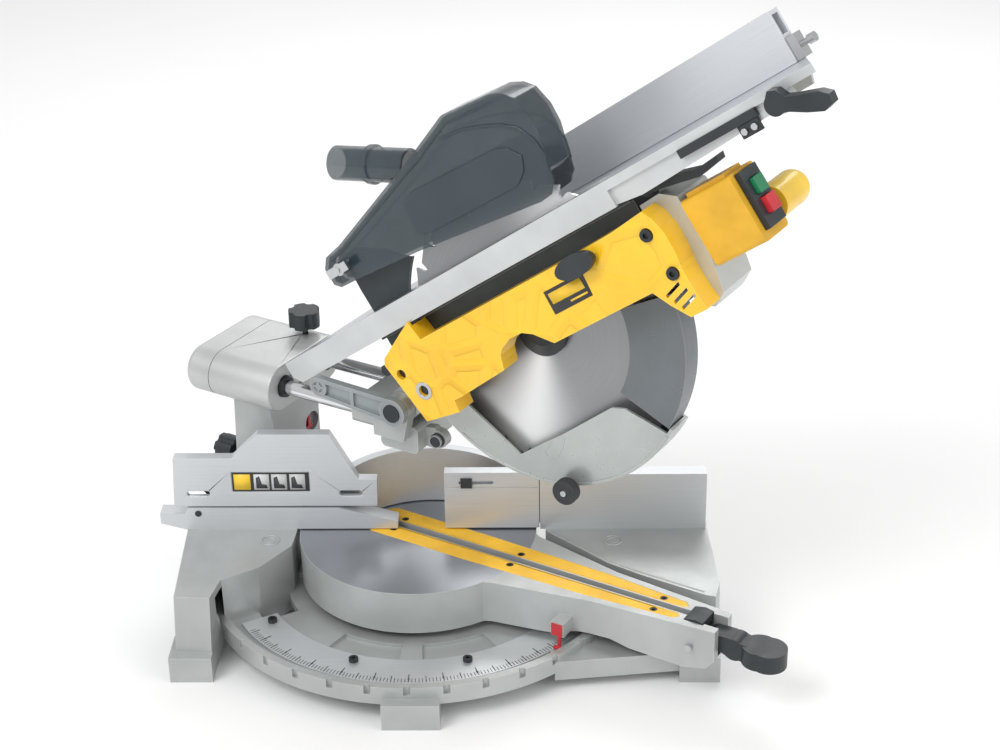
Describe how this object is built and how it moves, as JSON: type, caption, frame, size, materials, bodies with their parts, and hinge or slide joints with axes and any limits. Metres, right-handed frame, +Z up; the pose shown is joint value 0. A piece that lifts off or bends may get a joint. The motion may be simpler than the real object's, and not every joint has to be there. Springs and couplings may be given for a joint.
{
  "type": "sliding compound mitre saw with bench-saw table",
  "caption": "Sliding compound mitre saw with turntable, fences, twin slide rails, guarded blade head and an upper bench-saw table with rip fence",
  "frame": {"origin": "On the ground plane under the turntable's turning axis, midway between the two bench bolt holes.", "axes": "+X runs right along the fence, +Y to the back, away from the operator, +Z up."},
  "size_m": [0.5493, 0.3911, 0.5633],
  "materials": {
    "silver_paint": "satin silver-grey paint on a casting",
    "yellow_paint": "glossy yellow paint",
    "machined": "milled and ground face",
    "yellow_plastic": "moulded yellow",
    "ochre_plastic": "moulded ochre",
    "dark_plastic": "fine moulded texture",
    "dark_paint": "dark satin paint",
    "steel": "brushed",
    "chrome": "ground and polished",
    "blade_steel": "radially ground",
    "guard_grey": "light grey paint",
    "smoke": "smoke-tinted clear plastic",
    "rubber": "matt",
    "red": "moulded red",
    "green": "moulded green",
    "label": "printed sticker",
    "scale": "etched scale"
  },
  "bodies": {
    "base": {"base_casting": "silver_paint", "mitre_scale": "scale", "scale_screws": "steel", "fence_casting": "machined", "fence_bolts": "steel"},
    "left_fence": {"left_fence": "machined", "left_fence_label": "label"},
    "left_fence_knob": {"left_fence_knob": "dark_plastic"},
    "sub_fence": {"right_sub_fence": "machined", "sub_fence_screw": "dark_plastic"},
    "turntable": {"turntable_casting": "silver_paint", "kerf_strip_near": "yellow_plastic", "kerf_strip_far": "yellow_plastic", "turntable_screws": "steel", "mitre_pointer": "red", "lever_pin": "steel"},
    "mitre_lever": {"mitre_lever": "dark_plastic"},
    "detent_latch": {"detent_latch": "dark_plastic"},
    "bevel_arm": {"bevel_post": "silver_paint", "bevel_pointer": "red", "rail_housing": "silver_paint", "housing_cap": "silver_paint", "rail_bushes": "steel"},
    "bevel_lock_knob": {"bevel_lock_knob": "dark_plastic"},
    "rail_lock_knob": {"rail_lock_knob": "dark_plastic"},
    "carriage": {"slide_rails": "chrome", "carriage_casting": "silver_paint", "link_arm": "guard_grey", "link_cap": "dark_plastic", "stop_bracket": "silver_paint", "pivot_shaft": "steel"},
    "head": {"near_cover": "yellow_paint", "cover_screws": "steel", "name_plate": "label", "inner_guard": "dark_paint", "gear_case": "silver_paint", "motor_housing": "silver_paint", "motor_cap": "dark_plastic", "handle": "yellow_plastic", "switch_box": "ochre_plastic", "switch_plate": "dark_plastic", "riving_knife": "dark_paint"},
    "front_guard": {"front_guard": "dark_paint"},
    "start_button": {"start_button": "green"},
    "stop_button": {"stop_button": "red"},
    "head_lock_lever": {"head_lock_lever": "dark_plastic"},
    "oval_knob": {"oval_knob": "dark_plastic"},
    "blade": {"saw_blade": "blade_steel", "blade_flanges": "dark_paint", "arbor": "steel"},
    "lower_guard": {"lower_guard": "guard_grey"},
    "guard_roller": {"guard_roller": "rubber"},
    "upper_guard": {"smoke_guard": "smoke", "dust_port": "smoke", "wing_nut": "steel"},
    "upper_table": {"upper_table": "machined", "table_posts": "steel"},
    "table_clamp_lever": {"table_clamp_lever": "dark_plastic"},
    "rip_fence": {"rip_fence": "machined", "rip_clamp": "steel"}
  },
  "joints": [
    {"name": "left_fence_slide", "type": "slide", "parent": "base", "child": "left_fence", "axis": [-1, 0, 0], "range_m": [0, 0.055]},
    {"name": "left_fence_knob_turn", "type": "hinge", "parent": "left_fence", "child": "left_fence_knob", "pos_m": [-0.186, 0.02, 0.108], "axis": [0, 1, 0], "range_deg": [0, 270]},
    {"name": "sub_fence_slide", "type": "slide", "parent": "base", "child": "sub_fence", "axis": [-1, 0, 0], "range_m": [0, 0.012]},
    {"name": "mitre_turn", "type": "hinge", "parent": "base", "child": "turntable", "pos_m": [0, 0, 0.071], "axis": [0, 0, -1], "range_deg": [0, 105]},
    {"name": "mitre_lever_lift", "type": "hinge", "parent": "turntable", "child": "mitre_lever", "pos_m": [0.25201, -0.1455, 0.057], "axis": [-0.5, -0.866, 0], "range_deg": [0, 10], "stiffness_Nm_per_rad": 2, "springref_deg": -11.46},
    {"name": "detent_latch_press", "type": "slide", "parent": "turntable", "child": "detent_latch", "axis": [0, 0, -1], "range_m": [0, 0.0025], "stiffness_N_per_m": 900, "springref_m": -0.002},
    {"name": "bevel_tilt", "type": "hinge", "parent": "turntable", "child": "bevel_arm", "pos_m": [0, 0, 0.071], "axis": [0.866, -0.5, 0], "range_deg": [0, 11]},
    {"name": "bevel_lock_turn", "type": "hinge", "parent": "bevel_arm", "child": "bevel_lock_knob", "pos_m": [-0.17555, 0.07595, 0.112], "axis": [-0.866, 0.5, 0], "range_deg": [0, 180]},
    {"name": "rail_lock_turn", "type": "hinge", "parent": "bevel_arm", "child": "rail_lock_knob", "pos_m": [-0.10141, 0.09435, 0.235], "axis": [0, 0, 1], "range_deg": [0, 180]},
    {"name": "carriage_slide", "type": "slide", "parent": "bevel_arm", "child": "carriage", "axis": [0.866, -0.5, 0], "range_m": [0, 0.06]},
    {"name": "head_lower", "type": "hinge", "parent": "carriage", "child": "head", "pos_m": [0.00693, -0.004, 0.209], "axis": [0.5, 0.866, 0], "range_deg": [0, 43.9], "stiffness_Nm_per_rad": 14, "springref_deg": -108.86},
    {"name": "blade_spin", "type": "hinge", "parent": "head", "child": "blade", "pos_m": [0.11441, -0.06605, 0.29917], "axis": [0.5, 0.866, 0], "continuous": true},
    {"name": "lower_guard_swing", "type": "hinge", "parent": "head", "child": "lower_guard", "pos_m": [0.11441, -0.06605, 0.29917], "axis": [-0.5, -0.866, 0], "range_deg": [0, 121]},
    {"name": "guard_roller_spin", "type": "hinge", "parent": "lower_guard", "child": "guard_roller", "pos_m": [0.13014, -0.10285, 0.16917], "axis": [0.5, 0.866, 0], "continuous": true},
    {"name": "front_guard_swing", "type": "hinge", "parent": "head", "child": "front_guard", "pos_m": [0.11441, -0.06605, 0.29917], "axis": [-0.5, -0.866, 0], "range_deg": [0, 20]},
    {"name": "start_button_press", "type": "slide", "parent": "head", "child": "start_button", "axis": [-0.7006, 0.4045, -0.5878], "range_m": [0, 0.0022], "stiffness_N_per_m": 900, "springref_m": -0.002},
    {"name": "stop_button_press", "type": "slide", "parent": "head", "child": "stop_button", "axis": [-0.7006, 0.4045, -0.5878], "range_m": [0, 0.0022], "stiffness_N_per_m": 900, "springref_m": -0.002},
    {"name": "head_lock_turn", "type": "hinge", "parent": "head", "child": "head_lock_lever", "pos_m": [0.19299, -0.12182, 0.43933], "axis": [-0.5, -0.866, 0], "range_deg": [0, 7]},
    {"name": "oval_knob_turn", "type": "hinge", "parent": "head", "child": "oval_knob", "pos_m": [0.13804, -0.13166, 0.38237], "axis": [0.5, 0.866, 0], "range_deg": [0, 90]},
    {"name": "upper_guard_swing", "type": "hinge", "parent": "head", "child": "upper_guard", "pos_m": [-0.04591, 0.02651, 0.31918], "axis": [-0.5, -0.866, 0], "range_deg": [0, 35]},
    {"name": "upper_table_raise", "type": "slide", "parent": "head", "child": "upper_table", "axis": [-0.509, 0.2939, 0.809], "range_m": [0, 0.008]},
    {"name": "table_clamp_turn", "type": "hinge", "parent": "upper_table", "child": "table_clamp_lever", "pos_m": [0.27419, -0.20565, 0.53323], "axis": [0.5, 0.866, 0], "range_deg": [0, 60]},
    {"name": "rip_fence_slide", "type": "slide", "parent": "upper_table", "child": "rip_fence", "axis": [-0.5, -0.866, 0], "range_m": [0, 0.055]}
  ],
  "couplings": [
    {"joint": "lower_guard_swing", "follows": "head_lower", "ratio": 2.75},
    {"joint": "front_guard_swing", "follows": "head_lower", "ratio": 0.45}
  ]
}
